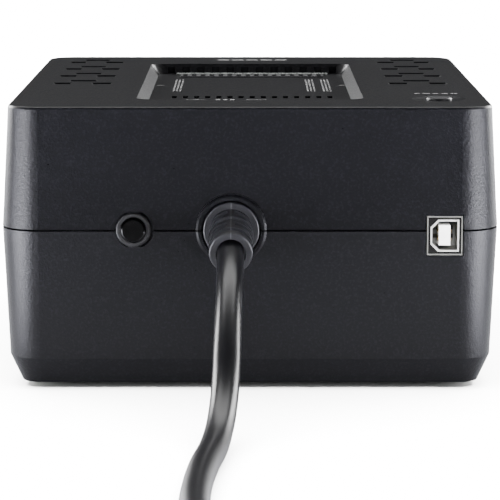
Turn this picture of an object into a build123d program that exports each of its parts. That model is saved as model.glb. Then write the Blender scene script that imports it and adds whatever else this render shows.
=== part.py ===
from build123d import *
import math
import os

# Compact uninterruptible power supply, in millimetres.
# +Z up, the cord leaves the rear panel towards -Y, +X to the right of someone facing that panel.
# The origin is under the middle of the case, on the surface that its feet stand on.

# Case
CASE_W = 150.0          # width at the parting line
CASE_D = 182.0          # depth at the parting line
FOOT_H = 1.9            # gap under the case
CHAMFER_Z = 9.9         # top of the chamfer round the bottom
PART_Z = 49.6           # parting line between base and cover
TOP_Z = 86.2            # top face
CORNER_R = 11.7         # plan radius of the upright corners
BOTTOM_INSET = 5.5      # bottom face inside the parting line
CHAMFER_INSET = 1.8     # chamfer's top edge inside the parting line
TOP_INSET = 2.05        # top face inside the parting line
TOP_EDGE_R = 0.9        # rounding of the top edge
WALL = 2.5
FLOOR = 3.5
GROOVE_H = 0.6          # shadow groove under the parting line
GROOVE_D = 1.5
REAR_Y = -CASE_D / 2
FRONT_Y = CASE_D / 2
SIDE_X = CASE_W / 2
LEAST_R = 1.0           # least plan radius left by the insets
PAST = 1.0              # cuts start or end this far outside what they cut
KEYED = 1.0             # bosses are sunk this far into the wall they stand on

# Well in the top face
WELL_W = 69.8
WELL_Y0 = REAR_Y + 25.0         # near rim
WELL_Y1 = FRONT_Y - 32.4        # far rim
WELL_DEPTH = 3.5
WELL_SLOPE = 2.6        # how far the sides lean in
WELL_R = 5.0
PAN = 2.0               # thickness under the well
WELL_X = 0.7            # middle of the rows of vents in the well

# Vents
TOOTH_COUNT = 12
TOOTH_PITCH = 5.2
TOOTH_W = 2.6
TOOTH_FOOT = 0.1        # share of the far slope behind the teeth, and up to their top
TOOTH_HEAD = 0.7
ROW_COUNT = 15
ROW_PITCH = 3.6
ROW_W = 1.7
ROW_L = 6.5
ROW_Y = -24.6
VENT_PITCH = 26.3
VENT_ROWS = 4
VENT_FLARE = 0.9
VENT_LAST_Y = FRONT_Y - 26.8    # the row nearest the front edge
VENT_STEP = 9.1         # the middle column is this much further forward
# Each column: distance from the side, width, length, step forward
VENT_COLUMNS = ((26.5, 4.6, 5.0, 0.0), (20.0, 7.1, 4.2, VENT_STEP), (13.65, 3.9, 5.0, 0.0))

# Status bar and grille on the well's floor
BAR_W = 53.2
BAR_L = 3.0
BAR_H = 0.6
BAR_EDGE = 0.15
BAR_GAP = 0.6           # from the slope to the bar
GRILLE_W = 50.0
GRILLE_L = 8.0
GRILLE_T = 0.4
GRILLE_GAP = 0.3        # from the bar to the grille
GRILLE_BORDER = 1.0
GRILLE_SLOTS = 16
GRILLE_SLOT_W = 1.6

# Power button
BUTTON_X = SIDE_X - 16.9
BUTTON_Y = REAR_Y + 27.0
BUTTON_R = 3.9
BUTTON_GAP = 0.2
BUTTON_PROUD = 0.5
BUTTON_EDGE = 0.6
BUTTON_FLANGE_R = BUTTON_R + 1.3
BUTTON_FLANGE_H = 1.4
BUTTON_SLACK = 0.3      # the flange rests this far under its boss
DISH_R = BUTTON_R + 4.5
DISH_DEPTH = 1.3
BUTTON_BOSS_R = DISH_R + 1.6
BUTTON_BOSS_H = 2.4
DOME_TOP_R = 2.73
DOME_BORE_R = 1.56
SWITCH = 7.0
SWITCH_H = 4.5
SWITCH_BOARD_W = 24.0
SWITCH_BOARD_L = 12.0
BOARD_T = 1.6
SWITCH_BOARD_TOP = 69.0
POST_W = 3.0

# Sockets in both long sides
SOCKET_COUNT = 3
SOCKET_PITCH = 44.0
SOCKET_Z = 68.0
SOCKET_L = 27.0         # along the case
SOCKET_H = 26.0
SOCKET_R = 3.0
SOCKET_PROUD = 0.6
SOCKET_DEPTH = 17.0
BLADE_PITCH = 12.7      # between the two blades of a plug
BLADE_SLOT_T = 2.2
BLADE_SLOT_L = (6.9, 8.4)
BLADE_Y = 3.9
EARTH_OFFSET = 11.86
EARTH_R = 2.65
BAR_T = 1.0
CONTACT_BAR_H = 4.5

# Breaker in the rear panel
BREAKER_X = -34.9
RESET_R = 3.65
RESET_GAP = 0.25
RESET_OUT = 2.2
RESET_EDGE = 0.5
RESET_LENGTH = 9.0
RESET_BACK_GAP = 0.3
BUSHING_R = RESET_R + 1.5
BUSHING_OUT = 1.0
BUSHING_EDGE = 0.4
BREAKER_HOLE_H = 2 * BUSHING_R          # the flats touch the bushing
BREAKER_HOLE_W = BREAKER_HOLE_H + 1.2
BREAKER_HOLE_SHIFT = 0.3
BREAKER_BODY = (16.0, 24.0, 30.0)
PAD_H = 36.0            # height of the flat pad inside the rear wall

# Data socket
USB_X = SIDE_X - 16.7
USB_Z = PART_Z - 1.9
USB_SHELL_W = 10.6
USB_SHELL_H = 11.8
USB_SHEET = 0.35        # thickness of its rim
USB_FACE_DEPTH = 0.8    # its face lies this far inside the rim
USB_CUT_W = USB_SHELL_W + 0.6
USB_CUT_H = USB_SHELL_H + 0.5
USB_SHELL_L = 16.0
USB_BORE_W = 7.6
USB_BORE_H = 8.7
USB_LIP = 0.45          # collar round the bore
USB_CORNER = 2.2
USB_TONGUE_W = 3.4
USB_TONGUE_H = 6.0
USB_BACK = 7.5          # from the end of the bore to the back
USB_SETBACK = 0.5
USB_TONGUE_BACK = 1.0   # the tongue starts behind the shell's mouth
USB_BOARD_L = 26.0
USB_BOARD_UP = 4.0

# Cord gland
CORD_D = 7.9
CORD_EXIT = 11.0        # how far it runs straight out of the relief
GLAND_X = -5.6
RELIEF_R1 = CORD_D / 2 + 2.5            # at its free end
RELIEF_R0 = RELIEF_R1 + 0.25            # at the panel
RELIEF_CORE_R = CORD_D / 2 + 0.85       # under the grooves
RELIEF_MOUTH_R = CORD_D / 2 + 0.6
RELIEF_MOUTH_DEPTH = 1.2
RELIEF_EDGE = 0.6
RELIEF_FLANGE_R = RELIEF_R0 + 1.7
RELIEF_FLANGE_EDGE = 0.5
RELIEF_BACK_R = RELIEF_FLANGE_R + 2.0
RELIEF_BACK_T = 2.0
RELIEF_OUT = 1.6
RELIEF_LENGTH = 18.0
RELIEF_ROOT = 4.0       # the taper starts this far inside the flange
RELIEF_SOCKET = 12.0
RELIEF_TILT = 14.0      # it droops under the cord's weight
RELIEF_SLOTS = 4
RELIEF_SLOT_PITCH = 4.1
RELIEF_FIRST_SLOT = 1.4
RELIEF_SLOT_W = 2.0
RELIEF_SPINE = 2.2
GLAND_HOLE_R = RELIEF_FLANGE_R + 0.2
GLAND_STEP_R = GLAND_HOLE_R + 0.45
GLAND_STEP_DEPTH = 1.0
GLAND_BEAD_R = GLAND_STEP_R + 1.6
GLAND_BEAD_OUT = 0.8
GLAND_BEAD_SLOPE = 0.7

# Battery, its bay and its door
BATTERY = (79.0, 99.0, 56.0)
BATTERY_X = -10.5
BATTERY_Y = FRONT_Y - 9.5 - BATTERY[1] / 2
BATTERY_GAP = 0.5
DOOR_T = 1.6
DOOR_SIDE = 5.0         # door's margin outside the bay
DOOR_GAP = 0.3
DOOR_LEDGE = 0.2
TAB = (6.3, 8.0, 0.8)
TAB_PITCH = 50.0
TAB_Z = 50.0
LEAD_D = 3.0
LEAD_BEND = 15.0
LEAD_LANDS = 0.5        # in front of the board's middle
GRIP_COUNT = 5
GRIP_PITCH = 3.0
GRIP_W = 1.2
GRIP_L = 30.0
GRIP_DEPTH = 0.5

# Inside
BOARD = (120.0, 48.0)
BOARD_X = USB_X + 7.7 - BOARD[0] / 2    # its edge carries the data socket's board
BOARD_Y = REAR_Y + 45.0
BOARD_Z = 12.0
STANDOFF_R = 3.0
STANDOFF_INSET = 4.0
RELAY = (20.0, 15.0, 16.0)
FUSE_HOLDER = (24.0, 8.0, 10.0)
CAPACITORS = ((8.0, 25.0), (6.5, 21.0))         # radius, height
BUZZER = (6.0, 8.0)
CHOKE = (8.0, 12.0)
SINK = (26.0, 14.0, 26.0)
SINK_GAPS = 4
SINK_GAP_W = 3.4
SINK_PITCH = 5.7
SINK_SPINE = 4.0
# Places on the board, from its middle
RELAYS_AT = ((-46.0, 14.0), (-22.0, 14.0))
CAPACITORS_AT = ((-2.0, 12.0), (16.0, 12.0))
FUSE_AT = (-36.0, -12.0)
BUZZER_AT = (-2.0, -10.0)
CHOKE_AT = (20.0, -10.0)
SINK_AT = (38.0, 10.0)
CORE = (36.0, 56.0, 42.0)
CORE_GAP = 1.5          # between battery and core
CORE_Y = BATTERY_Y - 8.0
CORE_WINDOW = (9.0, 26.0)
COIL_OUT = 7.0
BOSS_R = 3.5
SCREW_R = 1.5
SCREW_HEAD_R = 3.0
SCREW_HEAD_T = 2.0
SCREW_LENGTH = 60.0
SCREW_SLOT_W = 1.0
SCREW_SLOT_DEPTH = 0.8
SCREW_CROSS = 4.0
FRONT_SCREW_X = SIDE_X - 12.5
FRONT_SCREW_Y = FRONT_Y - 22.0
REAR_SCREW_X = 20.5
REAR_SCREW_Y = REAR_Y + 10.0
SCREW_PLACES = ((-FRONT_SCREW_X, FRONT_SCREW_Y), (FRONT_SCREW_X, FRONT_SCREW_Y),
                (-REAR_SCREW_X, REAR_SCREW_Y), (REAR_SCREW_X, REAR_SCREW_Y))
FOOT_R = 5.0
FOOT_DEEP = 1.0
FOOT_X = SIDE_X - 12.0
FOOT_REAR_Y = REAR_Y + 25.0
FOOT_FRONT_Y = FRONT_Y - 13.0
FOOT_PLACES = ((-FOOT_X, FOOT_REAR_Y), (FOOT_X, FOOT_REAR_Y), (-FOOT_X, FOOT_FRONT_Y),
               (FOOT_X, FOOT_FRONT_Y))

# Plug and the put-away cord
PLUG_BODY = (26.0, 34.0, 23.7)
PLUG_R = 4.0
PLUG_RELIEF_L = 24.0
PLUG_RELIEF_R0 = CORD_D / 2 + 3.05
PLUG_RELIEF_R1 = CORD_D / 2 + 1.45
PLUG_BLADE_L = 17.0
PLUG_BLADE_T = 1.5
PLUG_BLADE_H = (6.3, 7.9)
PLUG_PIN_R = 2.4
PLUG_PIN_L = 20.0
PLUG_PIN_NOSE = 1.8
COIL_R = 45.0
COIL_ROWS = 2
COIL_X = -54.5
COIL_Y = REAR_Y - 261.0
TAIL_LENGTH = 34.0
TAIL_SHIFT = 12.0       # how far past the coil's side the tail begins

FLOOR_Z = FOOT_H + FLOOR
BASE_H = PART_Z - CHAMFER_Z
COVER_H = TOP_Z - PART_Z
WELL_FLOOR_Z = TOP_Z - WELL_DEPTH
SIDES = (("left", -1), ("right", 1))


def place(shape, x, y, z):
    """The shape moved by x, y and z."""
    return Pos(x, y, z) * shape


def block(x0, x1, y0, y1, z0, z1):
    """A box between two corners."""
    solid = Box(x1 - x0, y1 - y0, z1 - z0)
    return place(solid, (x0 + x1) / 2, (y0 + y1) / 2, (z0 + z1) / 2)


def along_y(radius, y0, y1, x, z, radius_end=None):
    """A round bar or cone from y0 to y1, with radius at y0."""
    end = radius if radius_end is None else radius_end
    length = abs(y1 - y0)
    if end == radius:
        solid = Cylinder(radius, length)
    else:
        solid = Cone(radius, end, length)
    turn = -90 if y1 > y0 else 90
    return place(Rot(turn, 0, 0) * solid, x, (y0 + y1) / 2, z)


def upright(radius, z0, z1, x, y):
    """An upright round bar from z0 to z1."""
    return place(Cylinder(radius, z1 - z0), x, y, (z0 + z1) / 2)


def plan(inset, z):
    """The case's outline at a height, drawn in by inset."""
    corner = max(CORNER_R - inset, LEAST_R)
    outline = RectangleRounded(CASE_W - 2 * inset, CASE_D - 2 * inset, corner)
    return place(outline, 0, 0, z)


def drafted(inset0, z0, inset1, z1):
    """A block of the case's outline whose inset goes from inset0 at z0 to inset1 at z1."""
    angle = math.degrees(math.atan2(inset1 - inset0, abs(z1 - z0)))
    way = (0, 0, 1 if z1 > z0 else -1)
    return extrude(plan(inset0, z0), amount=abs(z1 - z0), dir=way, taper=angle)


def side_inset(z):
    """How far the wall stands inside the parting line at height z."""
    if z >= PART_Z:
        return TOP_INSET * (z - PART_Z) / COVER_H
    return CHAMFER_INSET * (PART_Z - z) / BASE_H


# The openings of the rear panel cross the parting line, so both halves are cut by the same tools.

def breaker_hole():
    """A round hole with flats above and below."""
    x = BREAKER_X + BREAKER_HOLE_SHIFT
    hole = along_y(BREAKER_HOLE_W / 2, REAR_Y - PAST, REAR_Y + 2 * WALL, x, PART_Z)
    flats = block(x - BREAKER_HOLE_W, x + BREAKER_HOLE_W, REAR_Y - PAST, REAR_Y + 2 * WALL,
                  PART_Z - BREAKER_HOLE_H / 2, PART_Z + BREAKER_HOLE_H / 2)
    return hole & flats


def gland_hole():
    """The stepped hole that the strain relief sits in."""
    hole = along_y(GLAND_HOLE_R, REAR_Y - 2 * PAST, REAR_Y + 2 * WALL, GLAND_X, PART_Z)
    step = along_y(GLAND_STEP_R, REAR_Y - 2 * PAST, REAR_Y + GLAND_STEP_DEPTH, GLAND_X, PART_Z)
    return hole + step


def gland_bead():
    """The raised ring round the gland, tapered towards its front."""
    shoulder = REAR_Y - GLAND_BEAD_OUT + GLAND_BEAD_SLOPE
    bead = along_y(GLAND_BEAD_R, REAR_Y + WALL / 2, shoulder, GLAND_X, PART_Z)
    nose = along_y(GLAND_BEAD_R, shoulder, REAR_Y - GLAND_BEAD_OUT, GLAND_X, PART_Z,
                   GLAND_BEAD_R - GLAND_BEAD_SLOPE)
    return bead + nose


def inner_face(reach):
    """Y of a flat that clears the rear wall's drafted inside, up to reach above and below the line."""
    return REAR_Y + WALL + max(side_inset(PART_Z + reach), side_inset(PART_Z - reach))


def rear_pad():
    """The flat pad inside the rear wall that the breaker and the strain relief seat on."""
    return block(BREAKER_X - BREAKER_BODY[0] / 2, GLAND_X + RELIEF_BACK_R + 1,
                 REAR_Y + WALL / 2, inner_face(PAD_H / 2), PART_Z - PAD_H / 2, PART_Z + PAD_H / 2)


def rear_moulding(z0, z1):
    """The bead and the pad between two heights."""
    return (gland_bead() + rear_pad()) & block(-CASE_W, CASE_W, 2 * REAR_Y, 0, z0, z1)


def usb_hole():
    """The opening round the data socket."""
    return block(USB_X - USB_CUT_W / 2, USB_X + USB_CUT_W / 2, REAR_Y - PAST, REAR_Y + WALL + PAST,
                 USB_Z - USB_CUT_H / 2, USB_Z + USB_CUT_H / 2)


def rear_holes():
    return breaker_hole() + gland_hole() + usb_hole()


def bay_box(z0, z1, extra=0.0):
    """The battery's plan, grown by extra on each side."""
    half_x = BATTERY[0] / 2 + extra
    half_y = BATTERY[1] / 2 + extra
    return block(BATTERY_X - half_x, BATTERY_X + half_x, BATTERY_Y - half_y, BATTERY_Y + half_y,
                 z0, z1)


def door_edges():
    """The door recess: left, right, rear and front edges."""
    half = BATTERY[0] / 2 + BATTERY_GAP + DOOR_SIDE
    rear = BATTERY_Y - BATTERY[1] / 2 - BATTERY_GAP - DOOR_SIDE
    return BATTERY_X - half, BATTERY_X + half, rear, FRONT_Y


def screw_bosses(z0, z1):
    return [upright(BOSS_R, z0, z1, x, y) for x, y in SCREW_PLACES]


def screw_holes(z0, z1):
    return [upright(SCREW_R, z0, z1, x, y) for x, y in SCREW_PLACES]


def standoffs():
    half_x = BOARD[0] / 2 - STANDOFF_INSET
    half_y = BOARD[1] / 2 - STANDOFF_INSET
    return [upright(STANDOFF_R, FLOOR_Z - KEYED, BOARD_Z, BOARD_X + i * half_x, BOARD_Y + j * half_y)
            for i in (-1, 1) for j in (-1, 1)]


def base_shell():
    """The lower half: a drafted tray with a chamfered foot, bosses and the battery bay's mouth."""
    lip_z = PART_Z - GROOVE_H
    outer = drafted(0.0, lip_z, CHAMFER_INSET, CHAMFER_Z)
    outer += drafted(CHAMFER_INSET, CHAMFER_Z, BOTTOM_INSET, FOOT_H)
    outer += extrude(plan(GROOVE_D, lip_z), amount=GROOVE_H)
    inner = drafted(WALL, PART_Z + PAST, CHAMFER_INSET + WALL, CHAMFER_Z)
    inner += drafted(CHAMFER_INSET + WALL, CHAMFER_Z, BOTTOM_INSET + WALL / 2, FLOOR_Z)
    shell = outer - inner
    shell += rear_moulding(0, PART_Z)
    shell += screw_bosses(FLOOR_Z - KEYED, PART_Z)
    shell += standoffs()
    shell -= rear_holes()
    shell -= screw_holes(0, PART_Z + PAST)
    shell -= [upright(SCREW_HEAD_R, 0, FOOT_H + SCREW_HEAD_T, x, y) for x, y in SCREW_PLACES]
    shell -= [foot(x, y) for x, y in FOOT_PLACES]
    left, right, rear, front = door_edges()
    shell -= block(left, right, rear, front, 0, FOOT_H + DOOR_T + DOOR_LEDGE)
    return shell - bay_box(0, FLOOR_Z + PAST, BATTERY_GAP)


def well():
    """The pocket in the top face, with sides that lean in."""
    length = WELL_Y1 - WELL_Y0
    angle = math.degrees(math.atan2(WELL_SLOPE, WELL_DEPTH))
    mouth = RectangleRounded(WELL_W, length, WELL_R)
    mouth = place(mouth, 0, (WELL_Y0 + WELL_Y1) / 2, TOP_Z)
    return extrude(mouth, amount=WELL_DEPTH, dir=(0, 0, -1), taper=angle)


def well_pan():
    """The tray under the well."""
    edge = WELL_R / 2
    return block(-WELL_W / 2 - edge, WELL_W / 2 + edge, WELL_Y0 - edge, WELL_Y1 + edge,
                 WELL_FLOOR_Z - PAN, TOP_Z - WALL / 2)


def well_vents():
    """Teeth down the well's far side and a row of slots in its floor."""
    cuts = []
    rim = WELL_Y1 - WELL_SLOPE
    for i in range(TOOTH_COUNT):
        x = WELL_X + (i - (TOOTH_COUNT - 1) / 2) * TOOTH_PITCH
        cuts.append(block(x - TOOTH_W / 2, x + TOOTH_W / 2, rim + TOOTH_FOOT * WELL_SLOPE,
                          rim + TOOTH_HEAD * WELL_SLOPE, WELL_FLOOR_Z - PAN - 1, TOP_Z + 1))
    for i in range(ROW_COUNT):
        x = WELL_X + (i - (ROW_COUNT - 1) / 2) * ROW_PITCH
        cuts.append(block(x - ROW_W / 2, x + ROW_W / 2, ROW_Y - ROW_L / 2, ROW_Y + ROW_L / 2,
                          WELL_FLOOR_Z - PAN - 1, WELL_FLOOR_Z + 1))
    return cuts


def vent_flare(x, y, width, length):
    """The sloped lead-in at both ends of a vent."""
    half = width / 2
    profile = Polyline((-half - VENT_FLARE, 0), (half + VENT_FLARE, 0), (half, -VENT_FLARE),
                       (-half, -VENT_FLARE), close=True)
    prism = extrude(Plane.XZ * make_face(profile), amount=length / 2, both=True)
    return place(prism, x, y, TOP_Z)


def top_vents():
    """Three staggered columns of slots on each side of the well."""
    cuts = []
    for from_side, width, length, step in VENT_COLUMNS:
        x = SIDE_X - from_side
        for row in range(VENT_ROWS):
            y = VENT_LAST_Y + step - row * VENT_PITCH
            for side in (-1, 1):
                cuts.append(block(side * x - width / 2, side * x + width / 2,
                                  y - length / 2, y + length / 2, TOP_Z - WALL - 1, TOP_Z + 1))
                cuts.append(vent_flare(side * x, y, width, length))
    return cuts


def socket_block(side, y, depth):
    """The outside shape of a socket, from its face inwards."""
    face = CASE_W / 2 - side_inset(SOCKET_Z) + SOCKET_PROUD
    outline = Plane.YZ * RectangleRounded(SOCKET_L, SOCKET_H, SOCKET_R)
    body = extrude(outline, amount=depth, dir=(1, 0, 0))
    x = face - depth if side > 0 else -face
    return place(body, x, y, SOCKET_Z)


def socket_places():
    return [(i - (SOCKET_COUNT - 1) / 2) * SOCKET_PITCH for i in range(SOCKET_COUNT)]


def dish():
    """The shallow bowl round the power button."""
    ball = (DISH_R ** 2 + DISH_DEPTH ** 2) / (2 * DISH_DEPTH)
    return place(Sphere(ball), BUTTON_X, BUTTON_Y, TOP_Z - DISH_DEPTH + ball)


def switch_posts():
    """Two posts that hang from the cover and carry the switch's board."""
    reach = SWITCH_BOARD_W / 2
    return [block(BUTTON_X + side * reach - (POST_W if side > 0 else 0),
                  BUTTON_X + side * reach + (0 if side > 0 else POST_W),
                  BUTTON_Y - SWITCH_BOARD_L / 2, BUTTON_Y - SWITCH_BOARD_L / 2 + POST_W,
                  SWITCH_BOARD_TOP, TOP_Z - WALL / 2) for side in (-1, 1)]


def top_cover():
    """The upper half, with the well, the vents, the sockets' openings and the button's dish."""
    outer = drafted(0.0, PART_Z, TOP_INSET, TOP_Z)
    outer = fillet(outer.faces().sort_by(Axis.Z)[-1].edges(), TOP_EDGE_R)
    inner = drafted(WALL, PART_Z - PAST, TOP_INSET + WALL, TOP_Z - WALL)
    shell = outer - inner
    shell += rear_moulding(PART_Z, TOP_Z)
    shell += well_pan()
    shell += screw_bosses(PART_Z, TOP_Z - WALL / 2)
    shell += upright(BUTTON_BOSS_R, TOP_Z - WALL - BUTTON_BOSS_H, TOP_Z - WALL / 2,
                     BUTTON_X, BUTTON_Y)
    shell += switch_posts()
    shell -= well()
    shell -= well_vents()
    shell -= top_vents()
    shell -= rear_holes()
    shell -= screw_holes(PART_Z - PAST, FOOT_H + SCREW_HEAD_T + SCREW_LENGTH)
    shell -= dish()
    shell -= upright(BUTTON_R + BUTTON_GAP, TOP_Z - WALL - BUTTON_BOSS_H - PAST, TOP_Z + PAST, BUTTON_X, BUTTON_Y)
    for _, side in SIDES:
        for y in socket_places():
            shell -= socket_block(side, y, SOCKET_DEPTH)
    return shell


def foot(x, y):
    return upright(FOOT_R, 0, FOOT_H + FOOT_DEEP, x, y)


def battery_door():
    """The sliding door under the battery, with grip grooves near its front edge."""
    left, right, rear, _ = door_edges()
    front = FRONT_Y - BOTTOM_INSET
    door = block(left + DOOR_GAP, right - DOOR_GAP, rear + DOOR_GAP, front, FOOT_H, FOOT_H + DOOR_T)
    for i in range(GRIP_COUNT):
        y = front - GRIP_L / 2 - i * GRIP_PITCH
        door -= block(BATTERY_X - GRIP_L / 2, BATTERY_X + GRIP_L / 2, y - GRIP_W / 2,
                      y + GRIP_W / 2, 0, FOOT_H + GRIP_DEPTH)
    return door


def case_screw(x, y):
    head = upright(SCREW_HEAD_R, FOOT_H, FOOT_H + SCREW_HEAD_T, x, y)
    shank = upright(SCREW_R, FOOT_H + SCREW_HEAD_T, FOOT_H + SCREW_HEAD_T + SCREW_LENGTH, x, y)
    screw = head + shank
    for w, length in ((SCREW_CROSS, SCREW_SLOT_W), (SCREW_SLOT_W, SCREW_CROSS)):
        screw -= block(x - w / 2, x + w / 2, y - length / 2, y + length / 2, 0,
                       FOOT_H + SCREW_SLOT_DEPTH)
    return screw


# Top face

def status_bar():
    """A translucent bar across the far end of the well's floor."""
    y1 = WELL_Y1 - WELL_SLOPE - BAR_GAP
    bar = block(WELL_X - BAR_W / 2, WELL_X + BAR_W / 2, y1 - BAR_L, y1,
                WELL_FLOOR_Z, WELL_FLOOR_Z + BAR_H)
    return chamfer(bar.edges().filter_by(Axis.X).group_by(Axis.Z)[-1], BAR_EDGE)


def well_grille():
    """A thin slotted strip in front of the status bar."""
    y1 = WELL_Y1 - WELL_SLOPE - BAR_GAP - BAR_L - GRILLE_GAP
    y0 = y1 - GRILLE_L
    strip = block(WELL_X - GRILLE_W / 2, WELL_X + GRILLE_W / 2, y0, y1,
                  WELL_FLOOR_Z, WELL_FLOOR_Z + GRILLE_T)
    pitch = GRILLE_W / GRILLE_SLOTS
    for i in range(GRILLE_SLOTS):
        x = WELL_X + (i - (GRILLE_SLOTS - 1) / 2) * pitch
        strip -= block(x - GRILLE_SLOT_W / 2, x + GRILLE_SLOT_W / 2, y0 + GRILLE_BORDER,
                       y1 - GRILLE_BORDER, WELL_FLOOR_Z - 1, WELL_FLOOR_Z + GRILLE_T + 1)
    return strip


def flange_top():
    """Height of the button flange's upper face, just under its boss."""
    return TOP_Z - WALL - BUTTON_BOSS_H - BUTTON_SLACK


def power_button():
    """The round cap, with a flange that keeps it under the cover."""
    cap = upright(BUTTON_R, flange_top() - BUTTON_FLANGE_H, TOP_Z + BUTTON_PROUD, BUTTON_X, BUTTON_Y)
    cap = fillet(cap.edges().group_by(Axis.Z)[-1], BUTTON_EDGE)
    return cap + upright(BUTTON_FLANGE_R, flange_top() - BUTTON_FLANGE_H, flange_top(),
                         BUTTON_X, BUTTON_Y)


def button_dome():
    """The hollow rubber dome that returns the button."""
    z0 = SWITCH_BOARD_TOP + SWITCH_H
    z1 = flange_top() - BUTTON_FLANGE_H
    outer = place(Cone(SWITCH / 2, DOME_TOP_R, z1 - z0), BUTTON_X, BUTTON_Y, (z0 + z1) / 2)
    return outer - upright(DOME_BORE_R, z0, z1, BUTTON_X, BUTTON_Y)


def power_switch():
    return block(BUTTON_X - SWITCH / 2, BUTTON_X + SWITCH / 2, BUTTON_Y - SWITCH / 2,
                 BUTTON_Y + SWITCH / 2, SWITCH_BOARD_TOP, SWITCH_BOARD_TOP + SWITCH_H)


def switch_board():
    return block(BUTTON_X - SWITCH_BOARD_W / 2, BUTTON_X + SWITCH_BOARD_W / 2,
                 BUTTON_Y - SWITCH_BOARD_L / 2, BUTTON_Y + SWITCH_BOARD_L / 2,
                 SWITCH_BOARD_TOP - BOARD_T, SWITCH_BOARD_TOP)


# Sockets

def socket(side, y):
    """One socket: two blade slots above each other and a round earth hole behind them."""
    body = socket_block(side, y, SOCKET_DEPTH)
    reach = CASE_W
    for level, length in zip((1, -1), BLADE_SLOT_L):
        z = SOCKET_Z + level * BLADE_PITCH / 2
        body -= block(-reach, reach, y + BLADE_Y - length / 2, y + BLADE_Y + length / 2,
                      z - BLADE_SLOT_T / 2, z + BLADE_SLOT_T / 2)
    hole = Rot(0, 90, 0) * Cylinder(EARTH_R, 2 * reach)
    return body - place(hole, 0, y + BLADE_Y - EARTH_OFFSET, SOCKET_Z)


def contact_bar(side, z):
    """A strip along the backs of one side's sockets."""
    back = CASE_W / 2 - side_inset(SOCKET_Z) + SOCKET_PROUD - SOCKET_DEPTH
    half = (SOCKET_COUNT - 1) * SOCKET_PITCH / 2 + SOCKET_L / 2
    x0 = back - BAR_T if side > 0 else -back
    return block(x0, x0 + BAR_T, -half, half, z - CONTACT_BAR_H / 2, z + CONTACT_BAR_H / 2)


# Rear panel

def breaker_body():
    w, length, h = BREAKER_BODY
    y0 = inner_face(PAD_H / 2)
    return block(BREAKER_X - w / 2, BREAKER_X + w / 2, y0, y0 + length,
                 PART_Z - h / 2, PART_Z + h / 2) - reset_bore()


def reset_bore():
    """The bore that the reset button runs in."""
    end = REAR_Y - RESET_OUT + RESET_LENGTH + RESET_BACK_GAP
    return along_y(RESET_R + RESET_GAP, REAR_Y - RESET_OUT - PAST, end, BREAKER_X, PART_Z)


def breaker_bushing():
    seat = inner_face(PAD_H / 2)
    sleeve = along_y(BUSHING_R, REAR_Y - BUSHING_OUT, seat, BREAKER_X, PART_Z)
    sleeve = chamfer(sleeve.edges().group_by(Axis.Y)[0], BUSHING_EDGE)
    return sleeve - reset_bore()


def breaker_button():
    face = REAR_Y - RESET_OUT
    pin = along_y(RESET_R, face, face + RESET_LENGTH, BREAKER_X, PART_Z)
    return chamfer(pin.edges().group_by(Axis.Y)[0], RESET_EDGE)


def usb_outline(width, height, corner, y):
    """The socket's D shape, standing on its side, on a plane across Y."""
    w = width / 2
    h = height / 2
    points = [(w, -h), (w, h), (corner - w, h), (-w, h - corner), (-w, corner - h), (corner - w, -h)]
    face = make_face(Polyline(*points, close=True))
    return Plane(origin=(USB_X, y, USB_Z), x_dir=(1, 0, 0), z_dir=(0, -1, 0)) * face


def usb_shell():
    """The metal shell: a thin rim, a sunk face and a collar round the bore, closed at the back."""
    front = REAR_Y + USB_SETBACK
    outer = block(USB_X - USB_SHELL_W / 2, USB_X + USB_SHELL_W / 2, front, front + USB_SHELL_L,
                  USB_Z - USB_SHELL_H / 2, USB_Z + USB_SHELL_H / 2)
    face = block(USB_X - USB_SHELL_W / 2 + USB_SHEET, USB_X + USB_SHELL_W / 2 - USB_SHEET,
                 front - PAST, front + USB_FACE_DEPTH,
                 USB_Z - USB_SHELL_H / 2 + USB_SHEET, USB_Z + USB_SHELL_H / 2 - USB_SHEET)
    collar = usb_outline(USB_BORE_W + 2 * USB_LIP, USB_BORE_H + 2 * USB_LIP, USB_CORNER, front)
    face -= extrude(collar, amount=USB_FACE_DEPTH, dir=(0, 1, 0))
    bore = extrude(usb_outline(USB_BORE_W, USB_BORE_H, USB_CORNER, front - PAST),
                   amount=USB_SHELL_L - USB_BACK + PAST, dir=(0, 1, 0))
    return outer - face - bore


def usb_tongue():
    """The plastic tongue that carries the contacts."""
    front = REAR_Y + USB_SETBACK
    return block(USB_X - USB_TONGUE_W / 2, USB_X + USB_TONGUE_W / 2, front + USB_TONGUE_BACK,
                 front + USB_SHELL_L - USB_BACK, USB_Z - USB_TONGUE_H / 2, USB_Z + USB_TONGUE_H / 2)


def usb_board():
    """The upright board beside the data socket, standing on the main board."""
    x0 = USB_X + USB_SHELL_W / 2
    y0 = inner_face(PART_Z - BOARD_Z)
    return block(x0, x0 + BOARD_T, y0, y0 + USB_BOARD_L, BOARD_Z + BOARD_T,
                 USB_Z + USB_SHELL_H / 2 + USB_BOARD_UP)


def relief_turn(shape):
    """The relief droops about the middle of its hole."""
    pivot = Pos(GLAND_X, REAR_Y, PART_Z)
    return pivot * (Rot(RELIEF_TILT, 0, 0) * (pivot.inverse() * shape))


def relief_slots():
    """Ring grooves round the relief. Two spines hold each: above and below, then at the sides."""
    slots = []
    wide = 2 * RELIEF_R0
    for i in range(RELIEF_SLOTS):
        y = REAR_Y - RELIEF_FIRST_SLOT - i * RELIEF_SLOT_PITCH
        ring = along_y(wide, y, y - RELIEF_SLOT_W, GLAND_X, PART_Z)
        ring -= along_y(RELIEF_CORE_R, y + 1, y - RELIEF_SLOT_W - 1, GLAND_X, PART_Z)
        half_x, half_z = (RELIEF_SPINE / 2, wide) if i % 2 == 0 else (wide, RELIEF_SPINE / 2)
        ring -= block(GLAND_X - half_x, GLAND_X + half_x, y - RELIEF_SLOT_W - 1, y + 1,
                      PART_Z - half_z, PART_Z + half_z)
        slots.append(ring)
    return slots


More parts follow.
